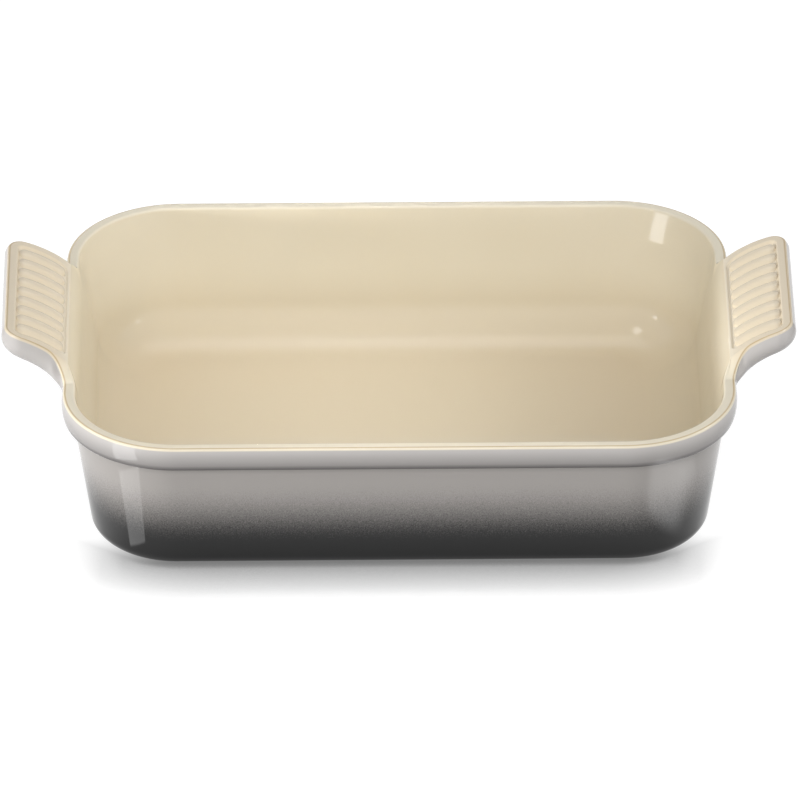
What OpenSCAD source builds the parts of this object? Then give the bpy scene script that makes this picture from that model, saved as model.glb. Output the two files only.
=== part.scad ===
// Glazed stoneware casserole dish with two arched, ribbed handles.
// The origin is the middle of the base. Z is up, the handles lie along X and the front faces -Y.

/* [Rim] */
// Length over the rim, without the handles
rim_len = 325; // [290:1:360]
// Width over the rim
rim_wid = 240; // [238:1:280]
// Height of the lip above the table
rim_top = 75; // [66:1:90]
// Corner radius of the rim in plan
rim_corner_r = 55.5; // [48:0.5:60]
// Width of the lip from the glaze break to the inner wall
lip_w = 5.6; // [5:0.1:7]
// Rounding of the lip's two edges
lip_r = 1.4; // [0.8:0.1:2]
// Height of the collar below the lip
collar_h = 12.4; // [10:0.2:18]
// How far the collar stands out from the wall below it
collar_out = 5.4; // [3.6:0.1:6]
// Rounding of the collar's lower edge
collar_edge_r = 2; // [1:0.1:2.4]
// Angle at which the collar's swelling face meets its edges
collar_face_a = 17; // [10:1:22]

/* [Walls and floor] */
// How far the outer wall leans in, from the collar down to the table
wall_lean = 9; // [4:0.1:14]
// How far the inner wall leans in, from the lip down to the table
inner_lean = 14; // [11:0.1:16]
// Fillet where the collar meets the wall
wall_neck_r = 1.5; // [0.8:0.1:1.8]
// Fillet between the wall and the base
base_r = 9; // [8:0.5:20]
// Height of the floor inside the dish
floor_z = 7.6; // [6.5:0.1:10]
// Fillet between the floor and the inner wall
floor_r = 25; // [14:0.5:30]
// Thickness of the cream glaze
glaze_t = 1; // [0.6:0.1:1.4]

/* [Foot] */
// Height of the unglazed foot
foot_h = 1.2; // [0.6:0.1:2.5]
// Width of the foot
foot_w = 9; // [5:0.5:14]
// Distance from the base fillet to the foot
foot_inset = 1.5; // [0.5:0.1:4]
// Rounding of the foot's edges
foot_edge_r = 0.4; // [0.2:0.05:0.55]

/* [Handles] */
// How far the top of a handle reaches past the lip
handle_reach = 28.2; // [24:0.1:36]
// Width of a handle where it leaves the rim
handle_w = 96; // [86:1:102]
// Taper of each side of a handle, in degrees
handle_taper = 3; // [0:1:16]
// Thickness of a handle
handle_t = 11; // [8:0.1:12]
// Height of the handle's tip above the lip
handle_rise = 22; // [16:0.2:26]
// Height of the inner edge of a handle above the lip
ridge_rise = 6.4; // [4:0.2:8]
// How far the inner edge of a handle moves out over the lip
ridge_out = 3.4; // [2:0.1:4.4]
// Radius of the handle's arch
arch_r = 60; // [46:1:70]
// Radius of the tip's corners in plan
tip_corner_r = 9; // [6:0.5:14]
// Radius in plan where a handle's side meets the rim
root_r = 9; // [6:0.5:10]
// Length of the lip over which it sweeps up to the handle
sweep_len = 10; // [7:0.5:12]
// Angle at which a handle's swelling side meets its edges
handle_face_a = 42; // [20:1:46]
// Rounding of the handle's lower edge
handle_edge_r = 2.4; // [1.5:0.1:3]
// Fillet between a handle's underside and the collar
under_r = 4; // [2:0.2:5]

/* [Grip] */
// Number of ribs on each handle
rib_n = 9; // [6:1:11]
// Width of the valley between two ribs
rib_space = 1.6; // [1:0.1:3]
// Height of a rib above the field that it stands on
rib_h = 1.9; // [1:0.1:2.5]
// Depth of the field in the handle's top
field_depth = 1.3; // [0.8:0.1:2]
// Width of the border round the field at the tip and the sides
border_w = 5.9; // [4:0.1:6]
// Width of the border at the handle's inner edge
inner_border_w = 2.2; // [1.5:0.1:3]
// Run of the field's sloping walls
field_draft = 0.4; // [0.2:0.1:0.8]
// Distance from the foot of the field's walls to the ribs
rib_gap = 1.4; // [0.3:0.1:1.5]

/* [Hidden] */

grey_clay = "#8f8b89";
cream = "#e6dac2";
charcoal = "#4a4847";
bisque = "#b5a48d";

// Share of a handle's underside fillet that each of its points has passed
fillet_shares = [0, 0.35, 0.7, 1];
// Least share of its radius that a handle's lower edge keeps near the root
min_room_share = 0.1;
// Shares of the collar's face, from the top down, that a handle's side, edge and underside take up
side_share = 0.42;
edge_share = 0.5;
under_share = 0.66;
root_share = 0.8;

arc_n = 5;
turn_n = 72;
overrun = 1;

// Leans as a run for each unit of height
wall_k = wall_lean / (rim_top - collar_h);
inner_k = inner_lean / rim_top;
wall_a = atan(wall_k);
inner_a = atan(inner_k);

// The profile is drawn as [p, z], where p is 0 on the collar's outermost line and negative inside it
seat_z = rim_top - collar_h;
break_z = rim_top - lip_r * (1 - sin(collar_face_a));
face_r = (break_z - seat_z - collar_edge_r * (1 - sin(collar_face_a))) / (2 * sin(collar_face_a));
face_z = break_z - face_r * sin(collar_face_a);
break_p = -face_r * (1 - cos(collar_face_a));
collar_edge_p = break_p - collar_edge_r * cos(collar_face_a);
lip_edge_p = break_p - lip_r * cos(collar_face_a);

function inner_p(z) = break_p - lip_w - inner_k * (rim_top - z);
function back_p(z) = inner_p(z) + glaze_t / cos(inner_a);
function wall_p(z) = -collar_out - wall_k * (seat_z - z);

lip_arc_p = inner_p(rim_top - lip_r) + lip_r / cos(inner_a);
floor_arc_p = inner_p(floor_z + floor_r) - floor_r / cos(inner_a);
neck_arc_p = wall_p(seat_z - wall_neck_r) + wall_neck_r / cos(wall_a);
base_arc_p = wall_p(foot_h + base_r) - base_r / cos(wall_a);
foot_p = base_arc_p - foot_inset;

// Middles of the corner circles in plan
corner_x = rim_len / 2 - rim_corner_r;
corner_y = rim_wid / 2 - rim_corner_r;

function arc(c, r, from, to, n = arc_n) =
    [for (i = [0:n]) let (a = from + (to - from) * i / n) c + r * [cos(a), sin(a)]];
function mix(a, b, t) = a + (b - a) * t;
function ease(t) = let (u = max(0, min(1, t))) u * u * (3 - 2 * u);

// Places of the handle's plan, in the dish's own X and Y
edge_x = rim_len / 2 + break_p;
tip_x = edge_x + handle_reach;
root_half = handle_w / 2 + root_r * cos(handle_taper);
side_x = edge_x + root_r * (1 - sin(handle_taper));
tip_run = (tip_x - tip_corner_r * (1 - sin(handle_taper)) - side_x) / cos(handle_taper);
tip_half = handle_w / 2 - tip_run * sin(handle_taper) - tip_corner_r * cos(handle_taper);

// The arch is a circle in the XZ plane through the handle's inner edge and its tip
ridge_x = rim_len / 2 + inner_p(rim_top) + ridge_out;
ridge_z = rim_top + ridge_rise;
arch_chord = [tip_x - ridge_x, handle_rise - ridge_rise];
arch_half = norm(arch_chord) / 2;
arch_drop = sqrt(arch_r * arch_r - arch_half * arch_half);
arch_c = [ridge_x, ridge_z] + arch_chord / 2
    + arch_drop / norm(arch_chord) * [arch_chord[1], -arch_chord[0]];

function arch_z(x, r) = arch_c[1] + sqrt(max(0, r * r - pow(x - arch_c[0], 2)));
function swell(y) = ease((root_half - abs(y)) / sweep_len);
function top_z(x, y) = mix(rim_top, arch_z(x, arch_r), swell(y));
function under_z(x) = arch_z(x, arch_r - handle_t);

// A run of the profile along a straight side
module run(pts, reach, len)
    rotate([90, 0, 0])
        linear_extrude(height = len, center = true)
            polygon([for (q = pts) [reach + q[0], q[1]]]);

// The profile carried all the way round the dish
module swept(pts) {
    for (turn = [0, 180]) {
        rotate([0, 0, turn]) run(pts, rim_len / 2, 2 * corner_y);
        rotate([0, 0, turn + 90]) run(pts, rim_wid / 2, 2 * corner_x);
    }
    for (i = [0:3])
        translate([(i == 0 || i == 3 ? 1 : -1) * corner_x, (i < 2 ? 1 : -1) * corner_y, 0])
            rotate([0, 0, 90 * i])
                rotate_extrude(angle = 90, $fn = turn_n)
                    polygon([for (q = pts) [rim_corner_r + q[0], q[1]]]);
}

// The flat middle of a floor, between the corner circles
module middle(low, high)
    translate([-corner_x, -corner_y, low])
        cube([2 * corner_x, 2 * corner_y, high - low]);

// The block at each end of the dish that belongs to a handle, above the level where it is seated
module handle_zones()
    for (side = [-1, 1])
        translate([side > 0 ? corner_x : -rim_len / 2 - handle_reach, -root_half, seat_z])
            cube([rim_corner_r + handle_reach, 2 * root_half, collar_h + handle_rise + overrun]);

// Walls and floor: grey stoneware, from the seat under the collar down to the base
basin_profile = concat(
    [[back_p(seat_z), seat_z]],
    arc([neck_arc_p, seat_z - wall_neck_r], wall_neck_r, 90, 180 - wall_a),
    arc([base_arc_p, foot_h + base_r], base_r, -wall_a, -90, 2 * arc_n),
    [[-rim_corner_r, foot_h], [-rim_corner_r, floor_z - glaze_t]],
    arc([floor_arc_p, floor_z + floor_r], floor_r + glaze_t, -90, -inner_a, 2 * arc_n));

module basin()
    color(charcoal)
        union() {
            swept(basin_profile);
            middle(foot_h, floor_z - glaze_t);
        }

// The bare clay that the dish stands on
foot_profile = concat(
    [[foot_p, foot_h]],
    arc([foot_p - foot_edge_r, foot_edge_r], foot_edge_r, 0, -90),
    arc([foot_p - foot_w + foot_edge_r, foot_edge_r], foot_edge_r, -90, -180),
    [[foot_p - foot_w, foot_h]]);

module foot_ring()
    color(bisque)
        swept(foot_profile);

// The cream glaze: over the lip, down the inner wall and across the floor
lining_profile = concat(
    arc([lip_edge_p, rim_top - lip_r], lip_r, collar_face_a, 90),
    arc([lip_arc_p, rim_top - lip_r], lip_r, 90, 180 - inner_a),
    arc([floor_arc_p, floor_z + floor_r], floor_r, -inner_a, -90, 2 * arc_n),
    [[-rim_corner_r, floor_z], [-rim_corner_r, floor_z - glaze_t]],
    arc([floor_arc_p, floor_z + floor_r], floor_r + glaze_t, -90, -inner_a, 2 * arc_n),
    [[back_p(break_z), break_z]]);

module cream_lining()
    color(cream)
        difference() {
            union() {
                swept(lining_profile);
                middle(floor_z - glaze_t, floor_z);
            }
            handle_zones();
        }

// The collar between the handles: its face swells a little and turns in below to the wall
rim_profile = concat(
    arc([-face_r, face_z], face_r, collar_face_a, -collar_face_a, 2 * arc_n),
    arc([collar_edge_p, seat_z + collar_edge_r], collar_edge_r, -collar_face_a, -90),
    [[back_p(seat_z), seat_z], [back_p(break_z), break_z]]);

// Half of the collar, in front of the handles for side -1 and behind them for side 1
module rim_half(side)
    color(grey_clay)
        intersection() {
            swept(rim_profile);
            translate([-rim_len, side > 0 ? root_half : -rim_wid, 0])
                cube([2 * rim_len, rim_wid - root_half, rim_top]);
        }

module front_rim() rim_half(-1);
module back_rim() rim_half(1);

// The field is sunk into the handle's top, inside a border as wide at the sides as at the tip
field_half = tip_half + tip_corner_r - border_w;
field_x = [ridge_x + inner_border_w, tip_x - border_w];
floor_half = field_half - field_draft;
floor_x = [field_x[0] + field_draft, field_x[1] - field_draft];
field_n = 6;

// Ways that the tip's corner faces, with a stop at the edge of the field and at the edge of its floor
corner_stops = [handle_taper - 90, -asin((field_half - tip_half) / tip_corner_r),
    -asin((floor_half - tip_half) / tip_corner_r), 0];
corner_turns = concat(
    [for (i = [1:3]) mix(corner_stops[0], corner_stops[1], i / 3)],
    [for (i = [0:3]) mix(corner_stops[2], corner_stops[3], i / 3)]);

// Outline of the handle's upper edge, as [x, y, way the edge faces], from the front root to the back one
half_outline = concat(
    [for (i = [0:arc_n]) let (a = mix(180, 90 + handle_taper, i / arc_n))
        [edge_x + root_r * (1 + cos(a)), -root_half + root_r * sin(a), a - 180]],
    [for (i = [1:arc_n]) let (t = tip_run * i / arc_n)
        [side_x + t * cos(handle_taper), -handle_w / 2 + t * sin(handle_taper), handle_taper - 90]],
    [for (a = corner_turns)
        [tip_x - tip_corner_r * (1 - cos(a)), -tip_half + tip_corner_r * sin(a), a]],
    [for (i = [1:arc_n - 1]) [tip_x, mix(-tip_half, 0, i / arc_n), 0]]);
half_count = len(half_outline);
outline = concat(half_outline, [[tip_x, 0, 0]],
    [for (i = [half_count - 1:-1:0]) [half_outline[i][0], -half_outline[i][1], -half_outline[i][2]]]);

// Rounds the turn at corner c between two ways, given as angles, with radius r
function turn(c, way_in, way_out, r) = let (
        cut = r * tan((way_in - way_out) / 2),
        start = c - cut * [cos(way_in), sin(way_in)],
        middle = start + r * [sin(way_in), -cos(way_in)])
    arc(middle, r, way_in + 90, way_out + 90);

// Points down the collar's face and round its lower edge, at shares of the face from the top
function face_point(share) = let (a = mix(collar_face_a, -collar_face_a, share))
    [face_r * (cos(a) - 1), face_z + face_r * sin(a)];

// One closed section of a handle, across the rim at the given point of its outline
function handle_section(o) = let (
        x = o[0], y = o[1], way = [cos(o[2]), sin(o[2])],
        w = swell(y),
        reach = rim_len / 2,
        // Near the root the lower edge and the fillet shrink to fit between the outline and the rim
        room = min(1, (x - edge_x) / (handle_edge_r + 2 * under_r)),
        out = ease((x - edge_x) / handle_edge_r / 2),
        low_r = handle_edge_r * max(min_room_share, room),
        // Inner face, from the seat up to the handle's inner edge
        corner_p = mix(inner_p(rim_top), ridge_x - reach, w),
        corner_z = mix(rim_top, ridge_z, w),
        foot = inner_p(seat_z),
        flare = corner_p - foot - (corner_z - seat_z) * inner_k,
        inner_face = [for (i = [0:arc_n - 1]) let (t = i / arc_n)
            [foot + (corner_z - seat_z) * inner_k * t + flare * pow(t, 3),
             mix(seat_z, corner_z, t)]],
        lean = inner_k + 3 * flare / (corner_z - seat_z),
        slope = (top_z(reach + corner_p + lip_r, y) - corner_z) / lip_r,
        ridge = turn([corner_p, corner_z], 90 - atan(lean), atan(slope), lip_r),
        // Top, from the inner edge to the rounding of the outer edge
        start = ridge[arc_n],
        end_x = x - lip_r * cos(collar_face_a) * way[0] - reach,
        end_y = y - lip_r * cos(collar_face_a) * way[1],
        on_field = abs(y) <= field_half + field_draft / 2,
        on_floor = abs(y) <= floor_half + field_draft / 2,
        top_x = on_field
            ? concat([field_x[0]], [for (i = [0:field_n]) mix(floor_x[0], floor_x[1], i / field_n)],
                [field_x[1], reach + end_x])
            : [for (i = [1:field_n + 3]) reach + mix(start[0], end_x, i / (field_n + 3))],
        top = [for (i = [0:field_n + 2]) let (
                py = mix(y, end_y, (top_x[i] - reach - start[0]) / (end_x - start[0])),
                sunk = on_floor && i > 0 && i <= field_n + 1)
            [top_x[i], py, sunk ? arch_z(top_x[i], arch_r - field_depth) : top_z(top_x[i], py)]],
        top_edge = [for (i = [1:arc_n]) let (
                a = mix(90, collar_face_a, i / arc_n),
                d = lip_r * (cos(a) - cos(collar_face_a)),
                px = x + d * way[0], py = y + d * way[1])
            [px, py, top_z(px, py) - lip_r * (1 - sin(a))]],
        // Swelling side and rounded lower edge, as they are on the handle
        high = top_z(x, y) - lip_r * (1 - sin(collar_face_a)),
        low = under_z(x) + low_r * (1 - sin(handle_face_a)),
        side_r = (high - low) / 2 / sin(handle_face_a),
        side = [for (i = [1:arc_n]) let (
                a = mix(handle_face_a, -handle_face_a, i / arc_n),
                d = side_r * (cos(a) - cos(handle_face_a)))
            [x + d * way[0], y + d * way[1], (high + low) / 2 + side_r * sin(a)]],
        low_edge = [for (i = [1:arc_n]) let (
                a = mix(-handle_face_a, -90, i / arc_n),
                d = low_r * (cos(a) - cos(handle_face_a)),
                px = x + d * way[0], py = y + d * way[1])
            [px, py, under_z(px) + low_r * (1 + sin(a))]],
        // Underside, back to the fillet against the collar
        last = low_edge[arc_n - 1],
        fillet_x = mix(edge_x, reach, room) + under_r * room,
        under = [for (i = [1:arc_n]) let (
                t = i / arc_n,
                px = mix(last[0], fillet_x, t))
            [px, last[1], under_z(px)]],
        fillet_end = face_point(root_share),
        corner_low = [reach, under_z(reach)],
        fillet_start = [fillet_x, under_z(fillet_x)],
        under_fillet = [for (i = [1:3]) let (
                t = fillet_shares[i],
                q = mix(mix(fillet_start, corner_low, t),
                    mix(corner_low, [reach + fillet_end[0], fillet_end[1]], t), t))
            [q[0], mix(last[1], y, t), q[1]]],
        // The same points as they lie on the collar's face where no handle stands out
        bare = concat(
            [for (i = [1:arc_n]) face_point(side_share * i / arc_n)],
            [for (i = [1:arc_n]) face_point(mix(side_share, edge_share, i / arc_n))],
            [for (i = [1:arc_n]) face_point(mix(edge_share, under_share, i / arc_n))],
            [for (i = [1:3]) face_point(mix(under_share, root_share, fillet_shares[i]))]),
        full = concat(side, low_edge, under, under_fillet),
        outer = [for (i = [0:len(full) - 1])
            mix([reach + bare[i][0], y, bare[i][1]], full[i], out)],
        // Lower part of the collar's face, down to the seat
        lower = concat(
            [for (i = [1:2]) face_point(mix(root_share, 1, i / 2))],
            [for (i = [1:arc_n]) let (a = mix(-collar_face_a, -90, i / arc_n))
                [collar_edge_p + collar_edge_r * cos(a), seat_z + collar_edge_r * (1 + sin(a))]]))
    concat(
        [for (q = inner_face) [reach + q[0], y, q[1]]],
        [for (q = ridge) [reach + q[0], y, q[1]]],
        top, top_edge, outer,
        [for (q = lower) [reach + q[0], y, q[1]]]);

// Skin over a row of closed sections that all have the same number of points
// The two end faces fan out from the point of their section that hub counts to
module skin(sections, hub) {
    rows = len(sections);
    n = len(sections[0]);
    polyhedron(
        points = [for (s = sections) each s],
        faces = concat(
            [for (i = [1:n - 2]) [hub, (hub + i) % n, (hub + i + 1) % n]],
            [for (i = [1:n - 2]) let (first = (rows - 1) * n)
                [first + hub, first + (hub + i + 1) % n, first + (hub + i) % n]],
            [for (k = [0:rows - 2], j = [0:n - 1]) let (m = (j + 1) % n)
                each [[k * n + j, (k + 1) * n + j, (k + 1) * n + m],
                      [k * n + j, (k + 1) * n + m, k * n + m]]]));
}

module handle()
    color(cream)
        skin([for (o = outline) handle_section(o)], hub = len(handle_section(outline[0])) - 2 * arc_n);

module right_handle() handle();
module left_handle() mirror([1, 0, 0]) handle();

// One rib follows the field's arch, with a rounded crown and rounded ends
rib_w = (2 * (floor_half - rib_gap) - (rib_n - 1) * rib_space) / rib_n;
rib_r = arch_r - field_depth;
function arch_a(x, r) = acos((x - arch_c[0]) / r);
rib_from = arch_a(floor_x[0] + rib_gap, rib_r);
rib_to = arch_a(floor_x[1] - rib_gap, rib_r);
rib_arc = (rib_from - rib_to) * PI / 180 * rib_r;

// Distances along the rib at which it has a section: close together at its rounded ends
end_turns = [0, 30, 55, 90];
rib_stations = concat(
    [for (a = end_turns) rib_w / 2 * (1 - cos(a))],
    [for (i = [1:3]) mix(rib_w / 2, rib_arc - rib_w / 2, i / 4)],
    [for (i = [3:-1:0]) rib_arc - rib_w / 2 * (1 - cos(end_turns[i]))]);

// Share of the full width and height at a distance along the rib
function rib_share(s) = let (d = min(s, rib_arc - s) / (rib_w / 2))
    d >= 1 ? 1 : sqrt(max(0, 1 - pow(1 - d, 2)));

function rib_point(s, turn, y) = let (
        share = rib_share(s),
        a = rib_from - s / rib_r * 180 / PI,
        r = rib_r + rib_h * share * sin(turn))
    [arch_c[0] + r * cos(a), y - rib_w / 2 * share * cos(turn), arch_c[1] + r * sin(a)];

module rib(y) {
    crown_n = 6;
    count = len(rib_stations);
    last = count - 2;
    rings = [for (k = [1:last]) [for (j = [0:crown_n]) rib_point(rib_stations[k], 180 * j / crown_n, y)]];
    n = crown_n + 1;
    ends = [rib_point(0, 0, y), rib_point(rib_arc, 0, y)];
    polyhedron(
        points = concat([for (s = rings) each s], ends),
        faces = concat(
            [for (k = [0:last - 2], j = [0:n - 1]) let (m = (j + 1) % n)
                each [[k * n + j, (k + 1) * n + j, (k + 1) * n + m],
                      [k * n + j, (k + 1) * n + m, k * n + m]]],
            [for (j = [0:n - 1]) let (m = (j + 1) % n) [last * n, j, m]],
            [for (j = [0:n - 1]) let (m = (j + 1) % n)
                [last * n + 1, (last - 1) * n + m, (last - 1) * n + j]]));
}

module grip_ribs()
    color(cream)
        for (i = [0:rib_n - 1])
            rib((i - (rib_n - 1) / 2) * (rib_w + rib_space));

module right_grip_ribs() grip_ribs();
module left_grip_ribs() mirror([1, 0, 0]) grip_ribs();

basin();
foot_ring();
cream_lining();
front_rim();
back_rim();
left_handle();
right_handle();
left_grip_ribs();
right_grip_ribs();
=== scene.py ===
from math import acos, atan, cos, degrees, hypot, pi, radians, sin, sqrt, tan

import bmesh
import bpy
from mathutils import Matrix, Vector


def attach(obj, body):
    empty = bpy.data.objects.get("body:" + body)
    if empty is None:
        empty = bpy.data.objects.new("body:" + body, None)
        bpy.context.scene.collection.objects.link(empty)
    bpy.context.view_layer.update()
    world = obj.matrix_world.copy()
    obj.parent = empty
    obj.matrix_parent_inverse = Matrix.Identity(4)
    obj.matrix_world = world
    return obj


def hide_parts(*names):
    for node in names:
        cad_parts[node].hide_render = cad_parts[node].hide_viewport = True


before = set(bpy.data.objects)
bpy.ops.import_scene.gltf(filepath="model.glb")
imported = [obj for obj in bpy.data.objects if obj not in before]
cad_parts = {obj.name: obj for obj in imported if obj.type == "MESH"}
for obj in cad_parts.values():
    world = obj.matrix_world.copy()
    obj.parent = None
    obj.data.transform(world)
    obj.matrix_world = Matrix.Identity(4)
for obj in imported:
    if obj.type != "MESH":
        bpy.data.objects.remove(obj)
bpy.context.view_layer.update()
print("frame loaded:", len(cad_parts), "nodes")

# Stoneware casserole dish. X runs from handle to handle, -Y is the front, Z is up from the table.
# Sizes are in millimetres and degrees. A length times mm is in metres, as meshes and textures need it.
mm = 0.001

# The lip, and the collar that swells below it
rim = {
    "length": 325, "width": 240, "top": 75, "cornerRadius": 55.5,
    "lipWidth": 5.6, "lipRadius": 1.4,
    "collarHeight": 12.4, "collarOut": 5.4, "collarEdgeRadius": 2, "faceAngle": 17,
}
# The leaning walls, the floor and the cream glaze on them. A flat starts with a row of points flatStep past
# its bend, and a floor's middle starts middleGap from the corner centres.
wall = {
    "outerLean": 9, "innerLean": 14, "neckRadius": 1.5, "baseRadius": 9,
    "floorZ": 7.6, "floorRadius": 25, "glaze": 1, "flatStep": 2, "middleGap": 2,
}
# The ring that the dish stands on
foot = {"height": 1.2, "width": 9, "inset": 1.5, "edgeRadius": 0.4}
# One handle. The other is the same, turned half round.
handle = {
    "reach": 28.2, "width": 96, "taper": 3, "thickness": 11, "rise": 22,
    "ridgeRise": 6.4, "ridgeOut": 3.4, "archRadius": 60, "tipRadius": 9, "rootRadius": 9,
    # The solid's face angle is 42, in flat facets. The smooth side swells a little less, to stay inside them.
    "sweepLength": 10, "faceAngle": 40, "edgeRadius": 2.4, "underRadius": 4,
    "filletStart": 0.66, "filletEnd": 0.8, "sideEnd": 0.42, "edgeEnd": 0.5, "leastRoom": 0.1,
}
# The field sunk into a handle's top, and the gaps between its two ends and the ribs'
grip = {
    "fieldDepth": 1.3, "border": 5.9, "innerBorder": 2.2, "fieldWall": 1.4, "fieldCorner": 3,
    "tipGap": -0.6, "basinGap": 0.5,
}
# How many steps each curve of the body is divided into
bodySteps = {
    "corner": 40, "longSide": 24, "shortSide": 16, "base": 24, "outside": 10, "neck": 8, "backBend": 16,
    "foot": 6, "lip": 12, "crest": 4, "innerTop": 4, "inside": 8, "floorBend": 32, "face": 20, "edge": 10,
}
# The same for a handle: its section first, then its outline
handleSteps = {
    "inner": 14, "round": 10, "top": 88, "side": 12, "under": 14, "lower": 6,
    "root": 22, "flank": 24, "tipCorner": 36, "tip": 40,
}
# How meshes are joined and shaded. Points further than farOver from the glaze's break all count as that far.
meshing = {"weld": 0.001, "sharpAngle": 38, "ribSharpAngle": 60, "farOver": 20}
# A way outwards straighter along X than this belongs to an end wall. A hair is a length too small to count.
straight = 0.999
hair = 1e-6


def mix(a, b, share):
    return a + (b - a) * share


def ease(share):
    share = max(0, min(1, share))
    return share * share * (3 - 2 * share)


def spaced(start, end, steps):
    return [mix(start, end, i / steps) for i in range(steps + 1)]


def arcPoints(centre, radius, start, end, steps):
    return [(centre[0] + radius * cos(radians(a)), centre[1] + radius * sin(radians(a)))
            for a in spaced(start, end, steps)]


# Worked out from the sizes. A profile is drawn as (p, z), with p = 0 on the collar's outermost line.
seatZ = rim["top"] - rim["collarHeight"]
faceTilt = radians(rim["faceAngle"])
outerSlope = wall["outerLean"] / seatZ
innerSlope = wall["innerLean"] / rim["top"]
outerTilt = degrees(atan(outerSlope))
innerTilt = degrees(atan(innerSlope))
breakZ = rim["top"] - rim["lipRadius"] * (1 - sin(faceTilt))
faceRadius = (breakZ - seatZ - rim["collarEdgeRadius"] * (1 - sin(faceTilt))) / (2 * sin(faceTilt))
faceZ = breakZ - faceRadius * sin(faceTilt)
breakP = -faceRadius * (1 - cos(faceTilt))
collarEdgeP = breakP - rim["collarEdgeRadius"] * cos(faceTilt)
lipEdgeP = breakP - rim["lipRadius"] * cos(faceTilt)
cornerX = rim["length"] / 2 - rim["cornerRadius"]
cornerY = rim["width"] / 2 - rim["cornerRadius"]


def innerP(z):
    return breakP - rim["lipWidth"] - innerSlope * (rim["top"] - z)


def backP(z):
    return innerP(z) + wall["glaze"] / cos(atan(innerSlope))


def outerP(z):
    return -rim["collarOut"] - outerSlope * (seatZ - z)


lipArcP = innerP(rim["top"] - rim["lipRadius"]) + rim["lipRadius"] / cos(atan(innerSlope))
floorArc = (innerP(wall["floorZ"] + wall["floorRadius"]) - wall["floorRadius"] / cos(atan(innerSlope)),
            wall["floorZ"] + wall["floorRadius"])
neckArc = (outerP(seatZ - wall["neckRadius"]) + wall["neckRadius"] / cos(atan(outerSlope)),
           seatZ - wall["neckRadius"])
baseArc = (outerP(foot["height"] + wall["baseRadius"]) - wall["baseRadius"] / cos(atan(outerSlope)),
           foot["height"] + wall["baseRadius"])
footP = baseArc[0] - foot["inset"]
middleP = -rim["cornerRadius"] + wall["middleGap"]

# The handle in plan and from the side
reach = rim["length"] / 2
edgeX = reach + breakP
tipX = edgeX + handle["reach"]
taper = radians(handle["taper"])
rootHalf = handle["width"] / 2 + handle["rootRadius"] * cos(taper)
sideX = edgeX + handle["rootRadius"] * (1 - sin(taper))
sideRun = (tipX - handle["tipRadius"] * (1 - sin(taper)) - sideX) / cos(taper)
tipHalf = handle["width"] / 2 - sideRun * sin(taper) - handle["tipRadius"] * cos(taper)
ridgeX = reach + innerP(rim["top"]) + handle["ridgeOut"]
ridgeZ = rim["top"] + handle["ridgeRise"]
archChord = Vector((tipX - ridgeX, handle["rise"] - handle["ridgeRise"]))
archDrop = sqrt(handle["archRadius"] ** 2 - (archChord.length / 2) ** 2)
archCentre = (Vector((ridgeX, ridgeZ)) + archChord / 2
              + archDrop / archChord.length * Vector((archChord.y, -archChord.x)))
fieldHalf = tipHalf + handle["tipRadius"] - grip["border"]
fieldX = (ridgeX + grip["innerBorder"], tipX - grip["border"])


def archZ(x, radius):
    return archCentre.y + sqrt(max(0, radius ** 2 - (x - archCentre.x) ** 2))


def swell(y):
    return ease((rootHalf - abs(y)) / handle["sweepLength"])


def topZ(x, y):
    return mix(rim["top"], archZ(x, handle["archRadius"]), swell(y))


def underZ(x):
    return archZ(x, handle["archRadius"] - handle["thickness"])


# Mesh making. overEdge is the distance past the break in the glaze: below zero cream, above zero grey.
def addObject(name, data):
    item = bpy.data.objects.new(name, data)
    bpy.context.collection.objects.link(item)
    return item


def cleanMesh(mesh, sharpAngle, weld):
    cleaner = bmesh.new()
    cleaner.from_mesh(mesh)
    if weld:
        bmesh.ops.remove_doubles(cleaner, verts=cleaner.verts, dist=weld)
        bmesh.ops.dissolve_degenerate(cleaner, edges=cleaner.edges, dist=weld)
    bmesh.ops.recalc_face_normals(cleaner, faces=cleaner.faces)
    cleaner.to_mesh(mesh)
    cleaner.free()
    mesh.shade_smooth()
    mesh.set_sharp_from_angle(angle=radians(sharpAngle))


def addOverEdge(mesh, distances):
    mesh.attributes.new("overEdge", "FLOAT", "POINT").data.foreach_set("value", distances)


def makeMesh(name, points, faces, overEdge):
    mesh = bpy.data.meshes.new(name)
    mesh.from_pydata([(x * mm, y * mm, z * mm) for x, y, z in points], [], faces)
    addOverEdge(mesh, overEdge)
    cleanMesh(mesh, meshing["sharpAngle"], meshing["weld"] * mm)
    return addObject(name, mesh)


def planStations():
    # Each station is (x, y, dx, dy): a spot on the rectangle of corner centres, and the way outwards
    stations = []
    corners = [(cornerX, cornerY), (-cornerX, cornerY), (-cornerX, -cornerY), (cornerX, -cornerY)]
    for i, (x, y) in enumerate(corners):
        for a in spaced(90 * i, 90 * i + 90, bodySteps["corner"]):
            stations.append((x, y, cos(radians(a)), sin(radians(a))))
        nextX = corners[(i + 1) % 4][0]
        way = stations[-1][2:]
        if i % 2 == 0:
            stations += [(mix(x, nextX, s), y) + way for s in spaced(0, 1, bodySteps["longSide"])[1:-1]]
        else:
            side = 1 if y > 0 else -1
            rootYs = spaced(rootHalf, -rootHalf, bodySteps["shortSide"])
            stations += [(x, side * rootY) + way for rootY in rootYs]
    return stations


def pathLengths(profile):
    lengths = [0]
    for a, b in zip(profile, profile[1:]):
        lengths.append(lengths[-1] + hypot(b[0] - a[0], b[1] - a[1]))
    return lengths


def sweptPoints(stations, profile):
    return [(x + (rim["cornerRadius"] + p) * dx, y + (rim["cornerRadius"] + p) * dy, z)
            for x, y, dx, dy in stations for p, z in profile]


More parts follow.
